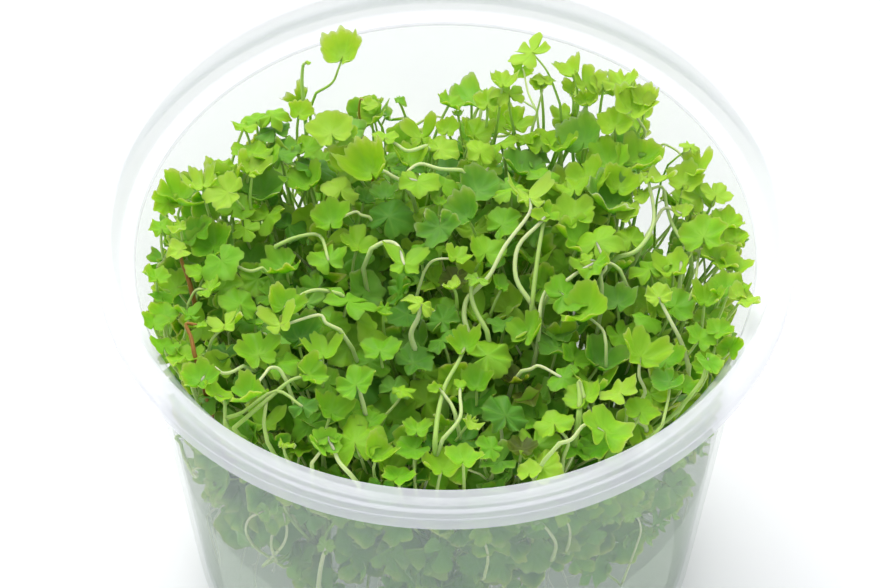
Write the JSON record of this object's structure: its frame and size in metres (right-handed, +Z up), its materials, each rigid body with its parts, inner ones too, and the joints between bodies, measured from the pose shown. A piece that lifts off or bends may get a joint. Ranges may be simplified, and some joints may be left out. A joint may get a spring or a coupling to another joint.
{
  "type": "potted japanese pennywort",
  "caption": "Round translucent plastic culture cup with a turned-down lip, clear gel in its base, and a dense mound of lobed green leaves on thin pale stems filling it to the mouth.",
  "frame": {"origin": "middle of the cup's flat underside, on the surface it stands on", "axes": "+Z up through the middle of the cup; -Y towards the viewer of the picture; the foliage is lowest along +Y"},
  "size_m": [0.096, 0.096, 0.0758],
  "materials": {
    "cup_plastic": "satin",
    "gel": "gloss",
    "foliage": "satin"
  },
  "bodies": {
    "root": {"culture_gel": "gel", "cup": "cup_plastic", "plantlet_01": "foliage", "plantlet_02": "foliage", "plantlet_03": "foliage", "plantlet_04": "foliage", "plantlet_05": "foliage", "plantlet_06": "foliage", "plantlet_07": "foliage", "plantlet_08": "foliage", "plantlet_09": "foliage", "plantlet_10": "foliage", "plantlet_11": "foliage", "plantlet_12": "foliage", "plantlet_13": "foliage", "plantlet_14": "foliage", "plantlet_15": "foliage", "plantlet_16": "foliage", "plantlet_17": "foliage", "plantlet_18": "foliage", "plantlet_19": "foliage", "plantlet_20": "foliage", "plantlet_21": "foliage", "plantlet_22": "foliage", "plantlet_23": "foliage", "plantlet_24": "foliage", "plantlet_25": "foliage", "plantlet_26": "foliage", "plantlet_27": "foliage", "plantlet_28": "foliage", "plantlet_29": "foliage", "plantlet_30": "foliage", "plantlet_31": "foliage", "plantlet_32": "foliage", "plantlet_33": "foliage", "plantlet_34": "foliage", "plantlet_35": "foliage", "plantlet_36": "foliage", "plantlet_37": "foliage", "plantlet_38": "foliage", "plantlet_39": "foliage", "plantlet_40": "foliage", "plantlet_41": "foliage", "plantlet_42": "foliage", "plantlet_43": "foliage", "plantlet_44": "foliage", "plantlet_45": "foliage", "plantlet_46": "foliage", "plantlet_47": "foliage", "plantlet_48": "foliage"}
  },
  "joints": []
}
